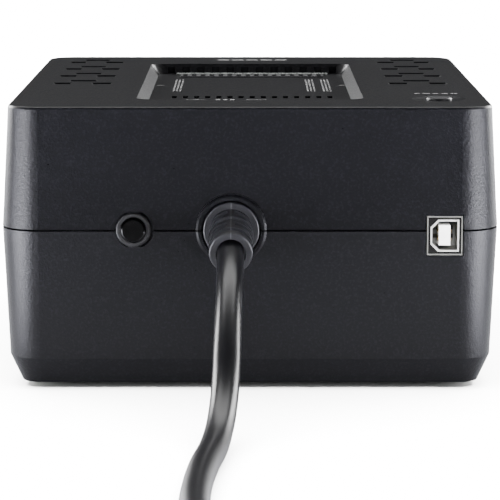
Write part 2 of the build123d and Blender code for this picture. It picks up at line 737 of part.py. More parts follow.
def relief_taper():
    """The part of the relief that stands out of the panel, before it droops."""
    end = REAR_Y - RELIEF_LENGTH
    taper = along_y(RELIEF_R0, REAR_Y + RELIEF_ROOT, end, GLAND_X, PART_Z, RELIEF_R1)
    taper = fillet(taper.edges().group_by(Axis.Y)[0], RELIEF_EDGE)
    return taper - relief_slots()


def strain_relief():
    """The moulded relief: a clamped flange, a ribbed taper and the mouth that the cord leaves."""
    seat = inner_face(PAD_H / 2)
    back = along_y(RELIEF_BACK_R, seat, seat + RELIEF_BACK_T, GLAND_X, PART_Z)
    neck = along_y(RELIEF_FLANGE_R, REAR_Y - RELIEF_OUT, seat, GLAND_X, PART_Z)
    neck = fillet(neck.edges().group_by(Axis.Y)[0], RELIEF_FLANGE_EDGE)
    end = REAR_Y - RELIEF_LENGTH
    bore = along_y(CORD_D / 2, end - 1, end + RELIEF_SOCKET, GLAND_X, PART_Z)
    mouth = along_y(RELIEF_MOUTH_R, end - 1, end + RELIEF_MOUTH_DEPTH, GLAND_X, PART_Z)
    return back + neck + relief_turn(relief_taper()) - relief_turn(bore) - relief_turn(mouth)


# Cord

def relief_point(along):
    """A point on the drooping relief's axis, so far out from the panel."""
    lean = math.radians(RELIEF_TILT)
    return (GLAND_X, REAR_Y - along * math.cos(lean), PART_Z - along * math.sin(lean))


def cord_route():
    """The cord's centreline from inside the relief to the coil."""
    lie = CORD_D / 2
    return [
        relief_point(RELIEF_LENGTH - RELIEF_SOCKET),
        relief_point(RELIEF_LENGTH + CORD_EXIT),
        (-6.2, REAR_Y - 48.6, 29.4),
        (-6.8, REAR_Y - 63.0, 12.6),
        (-8.9, REAR_Y - 82.0, lie),
        (-12.6, REAR_Y - 109.0, lie),
        (-14.2, REAR_Y - 149.0, lie),
        (-10.6, REAR_Y - 195.0, lie),
        (COIL_X + COIL_R + lie + 1.0, REAR_Y - 234.0, lie),
        (COIL_X + COIL_R + lie, COIL_Y, lie),
    ]


def corner_radii(points):
    """Each corner's radius: 0.45 of its shorter run over the tangent of half its turn."""
    radii = []
    for before, here, after in zip(points, points[1:], points[2:]):
        run_in = Vector(here) - Vector(before)
        run_out = Vector(after) - Vector(here)
        half_turn = math.radians(run_in.get_angle(run_out)) / 2
        radii.append(0.45 * min(run_in.length, run_out.length) / math.tan(half_turn))
    return radii


def tube(points, diameter):
    """A round tube along straight runs joined by arcs."""
    radii = corner_radii(points)
    print("bend radii", [round(r, 1) for r in radii])
    path = FilletPolyline(*points, radius=radii)
    section = Plane(origin=path @ 0, z_dir=path % 0) * Circle(diameter / 2)
    solid = sweep(section, path=path)
    print("tube volume over section times length",
          round(solid.volume / (math.pi * diameter ** 2 / 4 * path.length), 4))
    return solid


def cord_coil():
    """The outer shape of the put-away turns, lying flat."""
    height = COIL_ROWS * CORD_D
    outer = upright(COIL_R + CORD_D, 0, height, COIL_X, COIL_Y)
    return outer - upright(COIL_R - CORD_D, -1, height + 1, COIL_X, COIL_Y)


def tail_start():
    """Where the cord leaves the coil's top layer for its plug."""
    return (COIL_X + COIL_R + CORD_D / 2, COIL_Y - TAIL_SHIFT, PLUG_BODY[2] / 2)


def cord_tail():
    x, y, z = tail_start()
    return along_y(CORD_D / 2, y, y - TAIL_LENGTH, x, z)


def plug_back():
    """X, Y and Z of the middle of the plug's back."""
    x, y, z = tail_start()
    return x, y - TAIL_LENGTH - PLUG_RELIEF_L, z


def plug_relief():
    """The tapered relief behind the plug."""
    x, y, z = plug_back()
    return along_y(PLUG_RELIEF_R1, y + PLUG_RELIEF_L, y, x, z, PLUG_RELIEF_R0)


def plug_body():
    w, length, h = PLUG_BODY
    x, y0, z = plug_back()
    body = block(x - w / 2, x + w / 2, y0 - length, y0, z - h / 2, z + h / 2)
    return fillet(body.edges().filter_by(Axis.Y), PLUG_R)


def plug_blade(index):
    """A flat blade; the wider one is neutral."""
    x, back, z = plug_back()
    y0 = back - PLUG_BODY[1]
    side = 1 if index else -1
    cx = x + side * BLADE_PITCH / 2
    cz = z + BLADE_Y
    h = PLUG_BLADE_H[index]
    return block(cx - PLUG_BLADE_T / 2, cx + PLUG_BLADE_T / 2, y0 - PLUG_BLADE_L, y0,
                 cz - h / 2, cz + h / 2)


def plug_pin():
    x, back, z = plug_back()
    y0 = back - PLUG_BODY[1]
    pin = along_y(PLUG_PIN_R, y0, y0 - PLUG_PIN_L, x, z + BLADE_Y - EARTH_OFFSET)
    return fillet(pin.edges().group_by(Axis.Y)[0], PLUG_PIN_NOSE)


# Inside

def battery():
    z0 = FOOT_H + DOOR_T + DOOR_LEDGE + DOOR_GAP
    return bay_box(z0, z0 + BATTERY[2])


def battery_rear():
    return BATTERY_Y - BATTERY[1] / 2


def battery_tab(side):
    x = BATTERY_X + side * TAB_PITCH / 2
    y1 = battery_rear()
    return block(x - TAB[0] / 2, x + TAB[0] / 2, y1 - TAB[1], y1, TAB_Z - TAB[2] / 2, TAB_Z + TAB[2] / 2)


def battery_lead(side):
    """A lead from a terminal down to the board."""
    x = BATTERY_X + side * TAB_PITCH / 2
    y0 = battery_rear() - TAB[1]
    y1 = BOARD_Y + LEAD_LANDS
    points = [(x, y0, TAB_Z), (x, y1, TAB_Z), (x, y1, BOARD_Z + BOARD_T)]
    path = FilletPolyline(*points, radius=LEAD_BEND)
    section = Plane(origin=path @ 0, z_dir=path % 0) * Circle(LEAD_D / 2)
    return sweep(section, path=path)


def main_board():
    return block(BOARD_X - BOARD[0] / 2, BOARD_X + BOARD[0] / 2, BOARD_Y - BOARD[1] / 2,
                 BOARD_Y + BOARD[1] / 2, BOARD_Z, BOARD_Z + BOARD_T)


def on_board(at, size):
    """A block standing on the board, so far from its middle."""
    w, length, h = size
    x = BOARD_X + at[0]
    y = BOARD_Y + at[1]
    z0 = BOARD_Z + BOARD_T
    return block(x - w / 2, x + w / 2, y - length / 2, y + length / 2, z0, z0 + h)


def can(at, size):
    """A round component standing on the board."""
    radius, h = size
    z0 = BOARD_Z + BOARD_T
    return upright(radius, z0, z0 + h, BOARD_X + at[0], BOARD_Y + at[1])


def heatsink():
    """A finned extrusion standing on the board."""
    sink = on_board(SINK_AT, SINK)
    for i in range(SINK_GAPS):
        at = (SINK_AT[0] + (i - (SINK_GAPS - 1) / 2) * SINK_PITCH, SINK_AT[1] + SINK_SPINE)
        sink -= on_board(at, (SINK_GAP_W, SINK[1], SINK[2] + 1))
    return sink


def core_x():
    return BATTERY_X + BATTERY[0] / 2 + BATTERY_GAP + CORE_GAP + CORE[0] / 2


def coil_block(grow):
    """The winding's outside: it fills the core's window and stands out at both ends."""
    reach = CORE[1] / 2 + COIL_OUT if grow else CORE[1]
    half = CORE[0] / 2 - CORE_WINDOW[0] / 2
    z = FLOOR_Z + CORE[2] / 2
    return block(core_x() - half, core_x() + half, CORE_Y - reach, CORE_Y + reach,
                 z - CORE_WINDOW[1] / 2, z + CORE_WINDOW[1] / 2)


def transformer_core():
    x, y = core_x(), CORE_Y
    core = block(x - CORE[0] / 2, x + CORE[0] / 2, y - CORE[1] / 2, y + CORE[1] / 2,
                 FLOOR_Z, FLOOR_Z + CORE[2])
    return core - coil_block(False)


def transformer_coil():
    return coil_block(True)


def build():
    """Every piece by name."""
    parts = {
        "base_shell": base_shell(),
        "top_cover": top_cover(),
        "battery_door": battery_door(),
        "status_bar": status_bar(),
        "well_grille": well_grille(),
        "power_button": power_button(),
        "button_dome": button_dome(),
        "power_switch": power_switch(),
        "switch_board": switch_board(),
        "breaker_body": breaker_body(),
        "breaker_bushing": breaker_bushing(),
        "breaker_button": breaker_button(),
        "usb_shell": usb_shell(),
        "usb_tongue": usb_tongue(),
        "usb_board": usb_board(),
        "strain_relief": strain_relief(),
        "power_cord": tube(cord_route(), CORD_D),
        "cord_coil": cord_coil(),
        "cord_tail": cord_tail(),
        "plug_relief": plug_relief(),
        "plug_body": plug_body(),
        "plug_pin": plug_pin(),
        "battery": battery(),
        "main_board": main_board(),
        "transformer_core": transformer_core(),
        "transformer_coil": transformer_coil(),
        "heatsink": heatsink(),
        "fuse_holder": on_board(FUSE_AT, FUSE_HOLDER),
        "buzzer": can(BUZZER_AT, BUZZER),
        "choke": can(CHOKE_AT, CHOKE),
    }
    for n in (1, 2):
        parts[f"relay_{n}"] = on_board(RELAYS_AT[n - 1], RELAY)
        parts[f"capacitor_{n}"] = can(CAPACITORS_AT[n - 1], CAPACITORS[n - 1])
    for n, (x, y) in enumerate(FOOT_PLACES, 1):
        parts[f"foot_{n}"] = foot(x, y)
    for n, (x, y) in enumerate(SCREW_PLACES, 1):
        parts[f"case_screw_{n}"] = case_screw(x, y)
    for name, side in SIDES:
        for n, y in enumerate(socket_places(), 1):
            parts[f"socket_{name}_{n}"] = socket(side, y)
        for level, kind in ((1, "live"), (-1, "neutral"), (0, "earth")):
            parts[f"{kind}_bar_{name}"] = contact_bar(side, SOCKET_Z + level * BLADE_PITCH / 2)
    for n, side in enumerate((-1, 1), 1):
        parts[f"battery_tab_{n}"] = battery_tab(side)
        parts[f"battery_lead_{n}"] = battery_lead(side)
        parts[f"plug_blade_{n}"] = plug_blade(n - 1)
    return parts


os.makedirs("parts", exist_ok=True)
for node, shape in build().items():
    export_step(shape, f"parts/{node}.step")
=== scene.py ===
import math
import bmesh
import bpy
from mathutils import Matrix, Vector


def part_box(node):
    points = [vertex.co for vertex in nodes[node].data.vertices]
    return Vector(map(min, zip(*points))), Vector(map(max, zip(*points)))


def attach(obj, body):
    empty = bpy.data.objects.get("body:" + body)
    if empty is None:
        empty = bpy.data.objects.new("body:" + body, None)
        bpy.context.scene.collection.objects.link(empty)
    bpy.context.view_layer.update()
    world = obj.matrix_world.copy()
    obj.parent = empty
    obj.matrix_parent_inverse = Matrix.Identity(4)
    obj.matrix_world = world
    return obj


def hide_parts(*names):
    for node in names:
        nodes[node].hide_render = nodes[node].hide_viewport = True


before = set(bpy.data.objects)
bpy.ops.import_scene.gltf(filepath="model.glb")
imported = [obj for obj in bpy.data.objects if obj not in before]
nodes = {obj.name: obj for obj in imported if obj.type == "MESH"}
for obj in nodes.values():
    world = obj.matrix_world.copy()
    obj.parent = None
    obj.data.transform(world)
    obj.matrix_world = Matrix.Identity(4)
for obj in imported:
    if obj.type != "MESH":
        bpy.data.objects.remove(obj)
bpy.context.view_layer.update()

# ---------------------------------------------------------------- camera
# A long lens stands well back from the rear panel and a little above the top face. It looks straight
# at the panel and slightly down.
BEAD_OUT = 0.0008
rear_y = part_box("base_shell")[0][1] + BEAD_OUT
camera = bpy.data.objects.new("camera", bpy.data.cameras.new("camera"))
bpy.context.scene.collection.objects.link(camera)
camera.data.lens = 180.0
camera.data.sensor_width = 36.0
CAMERA_AWAY = 0.7385
CAMERA_Z = 0.1638
LOOKS_DOWN = 9.254
camera.location = (0.0, rear_y - CAMERA_AWAY, CAMERA_Z)
camera.rotation_euler = (math.radians(90.0 - LOOKS_DOWN), 0.0, 0.0)
bpy.context.scene.camera = camera


# ---------------------------------------------------------------- power cord
# A round three-core lead in a smooth black jacket. It droops from the relief to the floor, runs out
# past the view and is put away in a flat coil of four turns, two layers of two, under its plug.

class Flow:
    """One output of a material's node, with arithmetic written as Math nodes."""

    def __init__(self, finish, socket):
        self.finish = finish
        self.socket = socket

    def math(self, operation, *others, swap=False):
        values = (others[0], self) if swap else (self, *others)
        return self.finish.add("ShaderNodeMath", 0, {"operation": operation}, dict(enumerate(values)))

    def __add__(self, other):
        return self.math("ADD", other)

    __radd__ = __add__

    def __mul__(self, other):
        return self.math("MULTIPLY", other)

    __rmul__ = __mul__

    def __sub__(self, other):
        return self.math("SUBTRACT", other)

    def __rsub__(self, other):
        return self.math("SUBTRACT", other, swap=True)

    def __truediv__(self, other):
        return self.math("DIVIDE", other)

    def __mod__(self, other):
        return self.math("FLOORED_MODULO", other)

    def __lt__(self, other):
        return self.math("LESS_THAN", other)

    def __gt__(self, other):
        return self.math("GREATER_THAN", other)

    def __abs__(self):
        return self.math("ABSOLUTE")

    def clamped(self, low, high):
        """0 at low and below, 1 at high and above, smooth between."""
        return self.finish.add("ShaderNodeMapRange", 0, {"interpolation_type": "SMOOTHSTEP"},
                               {"Value": self, "From Min": low, "From Max": high})


class Finish:
    """A surface's material: its nodes, and what its shader reads."""

    def __init__(self, name, colour, roughness, **sockets):
        self.material = bpy.data.materials.new(name)
        self.material.use_nodes = True
        self.tree = self.material.node_tree
        self.shader = self.tree.nodes["Principled BSDF"]
        self.read("Base Color", colour)
        self.read("Roughness", roughness)
        for key, value in sockets.items():
            self.read(key.replace("_", " ").title().replace("Ior", "IOR"), value)
        self.place = self.add("ShaderNodeTexCoord", "Object")

    def feed(self, socket, value):
        if isinstance(value, Flow):
            self.tree.links.new(value.socket, socket)
        elif isinstance(value, tuple) and len(value) == 3 and socket.type == "RGBA":
            socket.default_value = (*value, 1.0)
        else:
            socket.default_value = value

    def read(self, key, value):
        """The shader's socket takes this value or flow."""
        self.feed(self.shader.inputs[key], value)

    def add(self, kind, output, settings=None, sockets=None):
        """A node with its settings and inputs; returns one of its outputs."""
        node = self.tree.nodes.new(kind)
        for key, value in (settings or {}).items():
            setattr(node, key, value)
        for key, value in (sockets or {}).items():
            self.feed(node.inputs[key], value)
        return Flow(self, node.outputs[output])

    def noise(self, size, detail=2.0, rough=0.5, place=None):
        """Noise whose spots are about size metres across."""
        return self.add("ShaderNodeTexNoise", 0, None,
                        {"Vector": place or self.place, "Scale": 1.0 / size, "Detail": detail,
                         "Roughness": rough})

    def cell_colours(self, size):
        """A random colour for each Voronoi cell, about size metres across."""
        return self.add("ShaderNodeTexVoronoi", "Color", None, {"Vector": self.place, "Scale": 1.0 / size})

    def axis(self, letter):
        """One of the object coordinates, in metres."""
        return self.add("ShaderNodeSeparateXYZ", letter, None, {0: self.place})

    def blend(self, share, first, second):
        """A colour between two."""
        return self.add("ShaderNodeMix", 2, {"data_type": "RGBA"}, {0: share, 6: first, 7: second})

    def shades(self, share, colour, darkest, palest):
        """The colour, from darkest to palest times as bright."""
        return self.blend(share, tuple(c * darkest for c in colour), tuple(c * palest for c in colour))

    def relief(self, height, depth):
        """Bump whose height is depth metres at 1."""
        bump = self.add("ShaderNodeBump", 0, None, {"Strength": 1.0, "Distance": depth, "Height": height})
        self.read("Normal", bump)

    def over(self, key, share, value):
        """Where share is 1 the shader's socket reads this value, and elsewhere what it read before."""
        socket = self.shader.inputs[key]
        before = Flow(self, socket.links[0].from_socket)
        if isinstance(value, tuple):
            self.feed(socket, self.blend(share, before, value))
        else:
            self.feed(socket, before + (value - before) * share)

    def wear(self, *pieces):
        """These objects take this material alone."""
        for piece in pieces:
            piece.data.materials.clear()
            piece.data.materials.append(self.material)


def soft_jacket(name, colour, roughness, grain, depth=0.00001, scuffed=0.08):
    """Moulded or extruded flexible PVC: fine waviness and faint scuffs in its gloss."""
    finish = Finish(name, colour, roughness, specular_ior_level=0.5)
    scuff = finish.noise(0.006, 3.0)
    finish.read("Base Color", finish.shades(scuff, colour, 0.8, 1.35))
    finish.read("Roughness", scuff.clamped(0.3, 0.7) * scuffed + (roughness - scuffed / 2))
    finish.relief(finish.noise(grain, 2.0), depth)
    return finish


CORD_D = 0.0079
COIL_R = 0.045
COIL_X = -0.0545
COIL_Y = rear_y - 0.261
COIL_STEPS = 16
TURNS = 4
lie = CORD_D / 2
gland_x = -0.0056
route = [
    (gland_x, rear_y - 0.0058, 0.0481), (gland_x, rear_y - 0.0281, 0.0426),
    (-0.0062, rear_y - 0.0486, 0.0294), (-0.0068, rear_y - 0.0630, 0.0126),
    (-0.0089, rear_y - 0.0820, lie), (-0.0126, rear_y - 0.1090, lie),
    (-0.0142, rear_y - 0.1490, lie), (-0.0106, rear_y - 0.1950, lie),
    (-0.00455, rear_y - 0.2340, lie),
]


def coil_place(turn):
    """A point of the coil after so many turns: outer and inner turns below, then the same above."""
    lane = (COIL_R + lie, COIL_R - lie, COIL_R - lie, COIL_R + lie, COIL_R + lie)
    level = (lie, lie, 3 * lie, 3 * lie, 3 * lie)
    whole = min(int(turn), TURNS)
    after = min(whole + 1, TURNS)
    step = max(0.0, (turn - whole) * 4 - 3.0)
    share = step * step * (3 - 2 * step)
    r = (lane[whole] + (lane[after] - lane[whole]) * share) / math.cos(math.pi / COIL_STEPS) ** 0.5
    z = level[whole] + (level[after] - level[whole]) * share
    angle = -2 * math.pi * turn
    return COIL_X + r * math.cos(angle), COIL_Y + r * math.sin(angle), z


route += [coil_place(i / COIL_STEPS) for i in range(TURNS * COIL_STEPS + 1)]
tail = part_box("cord_tail")
tail_x = (tail[0][0] + tail[1][0]) / 2
STRAIGHTENS = 0.012
route += [(tail_x, tail[1][1] - STRAIGHTENS, 3 * lie), (tail_x, tail[0][1], 3 * lie)]

curve = bpy.data.curves.new("power_lead", "CURVE")
curve.dimensions = "3D"
spline = curve.splines.new("NURBS")
spline.points.add(len(route) - 1)
for point, at in zip(spline.points, route):
    point.co = (*at, 1.0)
spline.order_u = 3
spline.use_endpoint_u = True
spline.resolution_u = 10
curve.bevel_depth = CORD_D / 2
curve.bevel_resolution = 7
curve.use_fill_caps = True
lead = bpy.data.objects.new("power_lead", curve)
bpy.context.scene.collection.objects.link(lead)
soft_jacket("cord jacket", (0.008, 0.008, 0.0095), 0.31, grain=0.0012, depth=0.000001,
            scuffed=0.02).wear(lead)
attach(lead, "case")
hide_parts("power_cord", "cord_coil", "cord_tail")

# ---------------------------------------------------------------- plug
# A moulded three-pin plug closes the lead's far end. Its PVC body has finger ribs, and is moulded
# round two nickel-plated blades and an earth pin.

def bars(name, material, body, slot, start, step, count, size, vary=0.0, seed=1, rows=1,
         row_step=(0.0, 0.0, 0.0)):
    """A row of small boxes, or several rows, made by Geometry Nodes and joined into a plain mesh."""
    tree = bpy.data.node_groups.new(name, "GeometryNodeTree")
    sockets = {}
    wanted = {"Count": ("NodeSocketInt", count), "Rows": ("NodeSocketInt", rows),
              "Start": ("NodeSocketVector", start), "Step": ("NodeSocketVector", step),
              "Row Step": ("NodeSocketVector", row_step), "Size": ("NodeSocketVector", size),
              "Vary": ("NodeSocketVector", tuple(1.0 - vary if s == max(step, key=abs) else 1.0
                                                 for s in step)),
              "Seed": ("NodeSocketInt", seed)}
    for label, (kind, _) in wanted.items():
        sockets[label] = tree.interface.new_socket(label, in_out="INPUT", socket_type=kind).identifier
    tree.interface.new_socket("Mesh", in_out="OUTPUT", socket_type="NodeSocketGeometry")
    given = tree.nodes.new("NodeGroupInput").outputs

    def add(kind, links, **settings):
        node = tree.nodes.new(kind)
        for key, value in settings.items():
            setattr(node, key, value)
        for key, source in links.items():
            if hasattr(source, "is_output"):
                tree.links.new(source, node.inputs[key])
            else:
                node.inputs[key].default_value = source
        return node.outputs

    column = add("GeometryNodeMeshLine", {"Count": given["Rows"], "Start Location": given["Start"],
                                          "Offset": given["Row Step"]})
    line = add("GeometryNodeMeshLine", {"Count": given["Count"], "Offset": given["Step"]})
    rows_made = add("GeometryNodeInstanceOnPoints", {"Points": column[0], "Instance": line[0]})
    points = add("GeometryNodeRealizeInstances", {"Geometry": rows_made[0]})
    box = add("GeometryNodeMeshCube", {"Size": given["Size"]})
    scale = add("FunctionNodeRandomValue", {"Min": given["Vary"], "Max": (1.0, 1.0, 1.0),
                                            "Seed": given["Seed"]}, data_type="FLOAT_VECTOR")
    placed = add("GeometryNodeInstanceOnPoints", {"Points": points[0], "Instance": box[0],
                                                  "Scale": scale[0]})
    solid = add("GeometryNodeRealizeInstances", {"Geometry": placed[0]})
    dressed = add("GeometryNodeSetMaterial", {"Geometry": solid[0], "Material": material})
    tree.links.new(dressed[0], tree.nodes.new("NodeGroupOutput").inputs[0])

    maker = bpy.data.objects.new(name + "_maker", bpy.data.meshes.new(name + "_maker"))
    bpy.context.scene.collection.objects.link(maker)
    modifier = maker.modifiers.new("bars", "NODES")
    modifier.node_group = tree
    for label, (_, value) in wanted.items():
        modifier[sockets[label]] = value
    evaluated = maker.evaluated_get(bpy.context.evaluated_depsgraph_get())
    mesh = bpy.data.meshes.new_from_object(evaluated)
    bpy.data.objects.remove(maker)
    piece = bpy.data.objects.new(name, mesh)
    bpy.context.scene.collection.objects.link(piece)
    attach(piece, body)


moulded = soft_jacket("moulded plug", (0.02, 0.02, 0.021), 0.42, grain=0.0008)
moulded.wear(nodes["plug_relief"], nodes["plug_body"])
plug_low, plug_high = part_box("plug_body")
RIB_PITCH = 0.0032
FIRST_RIB = 0.011
RIB_PROUD = 0.0012
RIB = (plug_high[0] - plug_low[0] + RIB_PROUD, 0.0016, 0.012)
bars("plug_ribs", moulded.material, "case", "cord",
     ((plug_low[0] + plug_high[0]) / 2, plug_low[1] + FIRST_RIB, (plug_low[2] + plug_high[2]) / 2),
     (0.0, RIB_PITCH, 0.0), 5, RIB)
nickel = Finish("nickel plate", (0.66, 0.65, 0.62), 0.22, metallic=1.0)
nickel.read("Roughness", nickel.noise(0.0015, 3.0) * 0.2 + 0.12)
nickel.relief(nickel.noise(0.0004), 0.000006)
nickel.wear(nodes["plug_pin"], nodes["plug_blade_1"], nodes["plug_blade_2"])

# ---------------------------------------------------------------- strain relief
# Flexible PVC moulded round the cord. Its grooves let it bend, and a fine flash line from the
# mould's halves runs along its top and bottom. The line's paler colour is a painted highlight along
# the top, and the grooves are painted darker as shade.
cover_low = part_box("top_cover")[0][2]
RELIEF_COLOUR = (0.02, 0.02, 0.023)
relief = Finish("relief rubber", RELIEF_COLOUR, 0.42, specular_ior_level=0.5)
FLASH_AND_HIGHLIGHT_W = 0.00016
flash_and_highlight = abs(relief.axis("X") - gland_x) < FLASH_AND_HIGHLIGHT_W
# The flash line's ridge is real; its paler colour is a painted highlight along the top, and the same paler
# line runs along the bottom.
relief.read("Base Color", relief.blend(flash_and_highlight, RELIEF_COLOUR, (0.09, 0.09, 0.095)))
relief.read("Roughness", flash_and_highlight * 0.15 + relief.noise(0.006, 3.0) * 0.1 + 0.36)
relief.relief(flash_and_highlight * 2.0 + relief.noise(0.0009, 2.0), 0.00003)
# Between the rings, nearer its drooping middle line than this, the rubber is dull, and its colour is
# painted darker as the shade in the grooves.
GROOVE_R = 0.0058
GROOVES_END = 0.0145
DROOP = math.radians(14.0)
out = relief.axis("Y") - rear_y
below = (relief.axis("Z") - cover_low) * math.cos(DROOP) - out * math.sin(DROOP)
beside = relief.axis("X") - gland_x
groove_shade = below * below + beside * beside < GROOVE_R * GROOVE_R
groove_shade = groove_shade * (out > -GROOVES_END)
relief.over("Base Color", groove_shade, (0.003, 0.003, 0.0035))
relief.over("Roughness", groove_shade, 0.8)
relief.wear(nodes["strain_relief"])

# ---------------------------------------------------------------- case
# Base, cover and door are injection moulded in black plastic. Their moulds were spark eroded, which
# leaves a fine even grain that catches light on the corners.

def eroded_plastic(name, colour, roughness, grain, depth=0.00004, gloss=0.4):
    """Black plastic from a spark-eroded mould."""
    finish = Finish(name, colour, roughness, specular_ior_level=gloss)
    coarse = finish.noise(grain, 2.0, 0.6)
    fine = finish.noise(grain * 0.4, 1.0)
    tone = finish.noise(0.03, 2.0)
    speck = coarse.clamped(0.45, 0.75)
    dark = finish.shades(tone, colour, 0.85, 1.15)
    finish.read("Base Color", finish.blend(speck, dark, tuple(c * 2.2 for c in colour)))
    finish.read("Roughness", coarse * 0.2 + (roughness - 0.1))
    finish.relief(coarse * 0.7 + fine * 0.3, depth)
    return finish


case_skin = eroded_plastic("case plastic", (0.0050, 0.0050, 0.0062), 0.33, grain=0.0008, depth=0.00011,
                           gloss=0.25)
# Just under the parting line a thin band is painted black as the shadow in the slit there, and it is made
# fully rough.
SLIT_H = 0.0006
slit_shadow = abs(case_skin.axis("Z") - (cover_low - SLIT_H / 2)) < SLIT_H / 2
case_skin.over("Base Color", slit_shadow, (0.0, 0.0, 0.0))
case_skin.over("Roughness", slit_shadow, 1.0)
case_skin.wear(nodes["base_shell"], nodes["top_cover"], nodes["battery_door"])

# ---------------------------------------------------------------- feet and screws
# Four round rubber feet are pressed into the base, and four zinc-plated steel screws come up beside
# them. The dome under the power button is rubber too.
rubber = soft_jacket("foot rubber", (0.02, 0.02, 0.02), 0.75, grain=0.0005)
rubber.wear(*[nodes[f"foot_{n}"] for n in range(1, 5)], nodes["button_dome"])
zinc = Finish("zinc plate", (0.5, 0.5, 0.48), 0.35, metallic=1.0)
zinc.read("Roughness", zinc.noise(0.0012, 3.0) * 0.25 + 0.22)
zinc.relief(zinc.noise(0.0005), 0.00001)
zinc.wear(*[nodes[f"case_screw_{n}"] for n in range(1, 5)])

# ---------------------------------------------------------------- battery
# A sealed lead battery in a grey moulded case with ribs along its top. Its stamped brass tabs take a
# red and a black lead in soft PVC.
tub = eroded_plastic("battery case", (0.11, 0.115, 0.125), 0.5, grain=0.0006)
tub.wear(nodes["battery"])
low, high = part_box("battery")
brass = Finish("stamped brass", (0.72, 0.5, 0.2), 0.3, metallic=1.0)
brass.read("Base Color", brass.blend(brass.noise(0.004, 3.0), (0.6, 0.4, 0.15), (0.78, 0.57, 0.25)))
brass.read("Roughness", brass.noise(0.001, 2.0) * 0.3 + 0.15)
brass.wear(nodes["battery_tab_1"], nodes["battery_tab_2"])
soft_jacket("black lead", (0.02, 0.02, 0.02), 0.4, grain=0.0006).wear(nodes["battery_lead_1"])
soft_jacket("red lead", (0.42, 0.012, 0.01), 0.4, grain=0.0006).wear(nodes["battery_lead_2"])
RIB_PITCH = 0.011
RIB_INSET = 0.012
RIB_SINK = 0.0003
RIB_SHORTER = 0.014
RIB = (0.0016, high[1] - low[1] - RIB_SHORTER, 0.0012)
bars("battery_ribs", tub.material, "case", "battery_case",
     (low[0] + RIB_INSET, (low[1] + high[1]) / 2, high[2] - RIB_SINK), (RIB_PITCH, 0.0, 0.0), 6, RIB)

# ---------------------------------------------------------------- boards and their parts
# Glass-epoxy boards under green solder mask; the copper tracks show through as paler lines. They
# carry moulded casings, sleeved capacitors, an extruded heatsink and wound wire.

def solder_mask():
    """Green lacquer over copper tracks."""
    finish = Finish("solder mask", (0.01, 0.09, 0.03), 0.3, coat_weight=0.3)
    TRACK = 0.0021
    WANDER = 0.004
    TRACK_SHARE = 0.22
    across = abs((finish.axis("X") + finish.noise(0.02, 0.0) * WANDER) % TRACK - TRACK / 2)
    along = abs((finish.axis("Y") + finish.noise(0.03, 0.0) * WANDER) % TRACK - TRACK / 2)
    region = finish.cell_colours(0.018)
    swap = finish.add("ShaderNodeSeparateXYZ", "X", None, {0: region}) > 0.5
    track = (across < TRACK * TRACK_SHARE) * swap + (along < TRACK * TRACK_SHARE) * (1 - swap)
    finish.read("Base Color", finish.blend(track, (0.008, 0.07, 0.025), (0.02, 0.16, 0.06)))
    finish.read("Roughness", track * 0.1 + finish.noise(0.003, 2.0) * 0.15 + 0.22)
    finish.relief(track, 0.00003)
    return finish


solder_mask().wear(nodes["main_board"], nodes["switch_board"], nodes["usb_board"])


def hard_moulding(name, colour, roughness):
    """Glossy moulded casing of a bought-in part, with fine moulding grain."""
    finish = Finish(name, colour, roughness, specular_ior_level=0.5)
    cloud = finish.noise(0.004, 3.0)
    finish.read("Base Color", finish.shades(cloud, colour, 0.8, 1.2))
    finish.read("Roughness", cloud * 0.15 + (roughness - 0.07))
    finish.relief(finish.noise(0.0006, 2.0), 0.000015)
    return finish


hard_moulding("component black", (0.018, 0.018, 0.02), 0.35).wear(
    nodes["breaker_body"], nodes["power_switch"], nodes["fuse_holder"], nodes["buzzer"])
hard_moulding("relay blue", (0.02, 0.06, 0.22), 0.3).wear(nodes["relay_1"], nodes["relay_2"])
LID_T = 0.0006
SLEEVE_COLOUR = (0.015, 0.02, 0.06)
for n in (1, 2):
    sleeve = hard_moulding(f"capacitor sleeve {n}", SLEEVE_COLOUR, 0.3)
    lid = sleeve.axis("Z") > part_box(f"capacitor_{n}")[1][2] - LID_T
    sleeve.read("Base Color", sleeve.blend(lid, SLEEVE_COLOUR, (0.6, 0.6, 0.61)))
    sleeve.read("Metallic", lid)
    sleeve.wear(nodes[f"capacitor_{n}"])

aluminium = Finish("extruded aluminium", (0.62, 0.62, 0.63), 0.35, metallic=1.0)
drawn = aluminium.add("ShaderNodeMapping", 0, None, {"Vector": aluminium.place, "Scale": (1.0, 1.0, 0.05)})
lines = aluminium.noise(0.0006, 2.0, place=drawn)
aluminium.read("Roughness", lines * 0.3 + 0.2)
aluminium.relief(lines, 0.00002)
aluminium.wear(nodes["heatsink"])


def wound_wire(name, letter, colour, pitch):
    """Turns of enamelled wire side by side along an axis."""
    finish = Finish(name, colour, 0.3, metallic=0.8)
    turn = abs(finish.axis(letter) % pitch - pitch / 2) / (pitch / 2)
    # Each turn is painted paler along its crown as a highlight and darker between turns as shade.
    finish.read("Base Color", finish.shades(turn, colour, 1.2, 0.3))
    finish.read("Roughness", finish.noise(0.002, 2.0) * 0.2 + 0.2)
    finish.relief(1 - turn * turn, pitch / 4)
    return finish


wound_wire("choke winding", "Z", (0.55, 0.22, 0.07), pitch=0.0012).wear(nodes["choke"])
wound_wire("transformer winding", "Y", (0.6, 0.3, 0.1), pitch=0.0009).wear(nodes["transformer_coil"])

